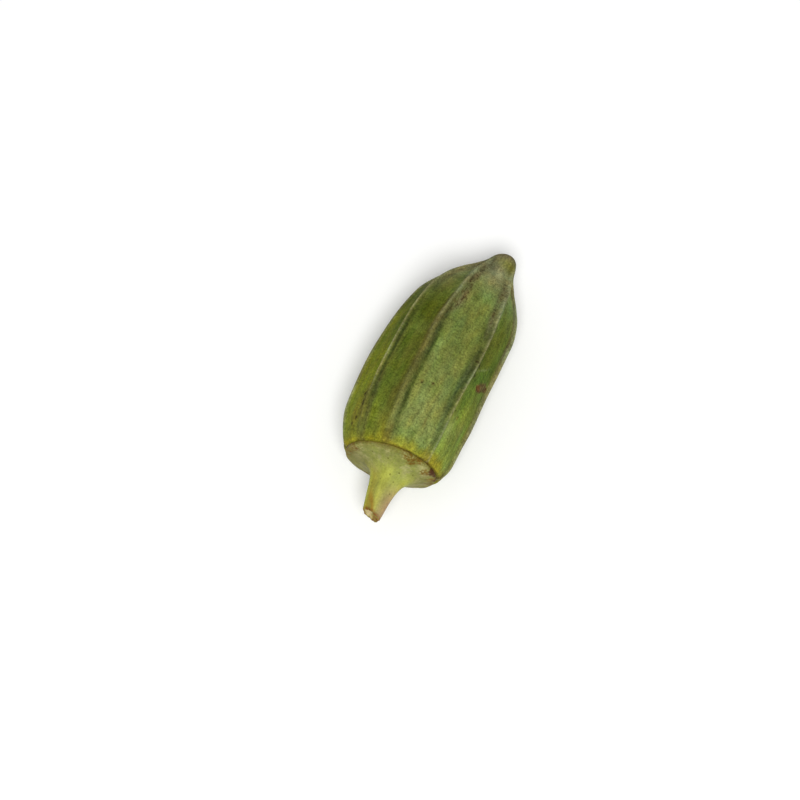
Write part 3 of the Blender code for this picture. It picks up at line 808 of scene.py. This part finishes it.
def stemSkin(piece):
    # smooth pale green stem tissue, cut with a knife: its cap greyer and rusting at the scar and darkened
    # underneath with painted shade, painted highlights along the stalk's flutes, its end drying orange round
    # cream pith
    tree, coords, painted = startSkin("freshStemSkin", piece)
    along = addNode(tree, "ShaderNodeMapping", {"Vector": coords, "Scale": (0.12, 1.0, 1.0)}).outputs[0]
    noises, masks = noisePatterns(tree, [
        ("patch", coords, 3.0, 3.0, 0.3, 0.7, 0.84, 1.16),
        ("streak", along, 0.9, 3.0, 0.35, 0.65, 0.92, 1.08),
        ("grain", coords, 0.5, 3.0, 0.32, 0.68, 0.86, 1.14),
        ("speck", coords, 0.7, 3.0, 0.40, 0.58, 0.25, 1.0),
        ("fleck", coords, 0.7, 3.0, 0.56, 0.42, 0.0, 0.6),
    ])
    rust, flakes, darkRust, undersideShade = [
        addNode(tree, "ShaderNodeMath", {0: painted[key], 1: strength}, operation="MULTIPLY").outputs[0]
        for key, strength in (("rust", masks["speck"]), ("flakes", masks["fleck"]), ("darkRust", 0.9),
                              ("undersideShade", 0.6))]
    base = paintLayers(tree, "#939a49", [
        (painted["capness"], "#7a803d"), (painted["rays"], "#85834a"), (painted["clouds"], "#9b9961"),
        # the #6a6433 layer is painted shade on the cap's underside
        # the #a2a546 layer is a painted highlight on the flute crests
        (undersideShade, "#6a6433"), (painted["yellowSide"], "#9c8a30"), (painted["fluteHighlight"], "#a2a546"),
        (painted["pinkSide"], "#a38866"), (painted["driedStreak"], "#937128"), (flakes, "#a59f6a"),
        (painted["rim"], "#6f5c17"), (rust, "#6b5216"), (darkRust, "#45200e"),
        (painted["pinPricks"], "#4f4a1c"), (painted["driedEnd"], "#744820"), (painted["pith"], "#b9a97a")])
    for scale in (masks["patch"], masks["streak"], masks["grain"]):
        base = addNode(tree, "ShaderNodeVectorMath", {0: base, "Scale": scale}, operation="SCALE").outputs[0]
    bump = addNode(tree, "ShaderNodeBump", {
        "Height": noises["grain"], "Strength": 0.3, "Distance": 0.1 * mm})
    shader = addNode(tree, "ShaderNodeBsdfPrincipled", {
        "Base Color": base, "Roughness": 0.5, "Normal": bump.outputs[0], "Specular IOR Level": 0.04,
        "Subsurface Weight": 0.15, "Subsurface Radius": (1.0, 0.9, 0.3), "Subsurface Scale": 0.8 * mm})
    addNode(tree, "ShaderNodeOutputMaterial", {"Surface": shader.outputs[0]})


podSkin(pod)
stemSkin(stem)
print("materials done")


# studio: a pale table, soft light from overhead, and the camera

studio = {
    "tableSize": 3.0,  # metres
    "tableColour": "#fafaf9",
    "tableDrop": 0.05 * mm,  # below the pod, whose pressed crests are level
    "keyPower": 52.0,  # watts
    "keySize": 1.1,  # metres, as is the distance
    "keyDistance": 2.5,
    "keyAzimuth": -61.6,  # degrees
    "keyElevation": 60.0,
    "skyStrength": 0.42,
}


def fromAngles(azimuth, elevation):
    # direction from the object to something that stands at these angles, in degrees
    a, e = math.radians(azimuth), math.radians(elevation)
    return Vector((math.sin(a) * math.cos(e), -math.cos(a) * math.cos(e), math.sin(e)))


def makeStudio():
    blank = bmesh.new()
    bmesh.ops.create_grid(blank, x_segments=2, y_segments=2, size=studio["tableSize"] / 2.0,
                          matrix=Matrix.Translation((0.0, 0.0, cadBox[0].z - studio["tableDrop"])))
    mesh = bpy.data.meshes.new("table")
    blank.to_mesh(mesh)
    blank.free()
    table = bpy.data.objects.new("table", mesh)
    bpy.context.scene.collection.objects.link(table)
    material = bpy.data.materials.new("paleTable")
    material.use_nodes = True
    shader = material.node_tree.nodes["Principled BSDF"]
    shader.inputs["Base Color"].default_value = linearColour(studio["tableColour"])
    shader.inputs["Roughness"].default_value = 0.9
    shader.inputs["Specular IOR Level"].default_value = 0.1
    mesh.materials.append(material)

    world = bpy.data.worlds.new("softSky")
    world.use_nodes = True
    sky = world.node_tree.nodes["Background"]
    sky.inputs["Color"].default_value = (1.0, 1.0, 1.0, 1.0)
    sky.inputs["Strength"].default_value = studio["skyStrength"]
    bpy.context.scene.world = world

    light = bpy.data.lights.new("overheadSoftbox", "AREA")
    light.shape = "DISK"
    light.size = studio["keySize"]
    light.energy = studio["keyPower"]
    lamp = bpy.data.objects.new("overheadSoftbox", light)
    toLight = fromAngles(studio["keyAzimuth"], studio["keyElevation"])
    lamp.location = toLight * studio["keyDistance"]
    lamp.rotation_euler = toLight.to_track_quat("Z", "Y").to_euler()
    bpy.context.scene.collection.objects.link(lamp)
    bpy.context.scene.view_settings.view_transform = "Standard"


cameraSetup = {
    "azimuth": -61.6,  # degrees, where the camera stands seen from the pod
    "elevation": 67.8,
    "distance": 0.53,  # metres
    "lens": 85.2,
    "aim": (0.354, 0.574, 0.709),  # shares of the object's box
}


def makeCamera():
    low, high = cadBox
    aim = Vector([low[i] + cameraSetup["aim"][i] * (high[i] - low[i]) for i in range(3)])
    back = fromAngles(cameraSetup["azimuth"], cameraSetup["elevation"])
    data = bpy.data.cameras.new("camera")
    data.lens = cameraSetup["lens"]
    data.clip_start = 0.01
    data.clip_end = 20.0
    camera = bpy.data.objects.new("camera", data)
    camera.location = aim + back * cameraSetup["distance"]
    camera.rotation_euler = back.to_track_quat("Z", "Y").to_euler()
    bpy.context.scene.collection.objects.link(camera)
    bpy.context.scene.camera = camera


makeStudio()
makeCamera()
print("studio done")
